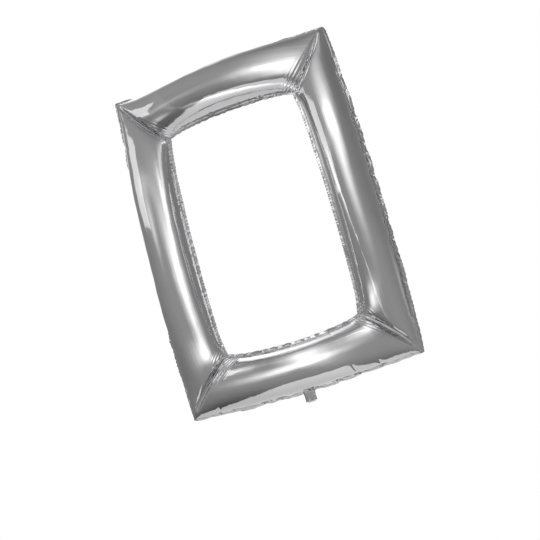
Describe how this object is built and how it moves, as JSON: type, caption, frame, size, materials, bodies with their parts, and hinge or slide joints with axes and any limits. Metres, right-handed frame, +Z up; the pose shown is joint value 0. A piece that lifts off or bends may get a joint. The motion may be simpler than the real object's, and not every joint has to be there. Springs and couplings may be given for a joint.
{
  "type": "selfie frame foil balloon",
  "caption": "Inflated foil balloon shaped as an upright rectangular picture frame with an open window, held up by hand for photographs.",
  "frame": {"origin": "middle of the open window, on the weld plane between the two sheets, where the balloon is held up in the air", "axes": "+Z up along the upright arms, +X across the frame to the viewer's right, and the front sheet faces -Y"},
  "size_m": [0.5998, 0.1204, 0.8725],
  "materials": {
    "silver_foil": "mirror-like metallised film, taut over gas, with fine creases at the welds",
    "welded_foil": "metallised film crimped flat by the heat weld",
    "clear_film": "milky clear valve film"
  },
  "bodies": {
    "root": {"front_foil_sheet": "silver_foil", "back_foil_sheet": "silver_foil", "outer_seam_flange": "welded_foil", "inner_seam_flange": "welded_foil", "filling_tail": "welded_foil", "valve_film": "clear_film"}
  },
  "joints": []
}
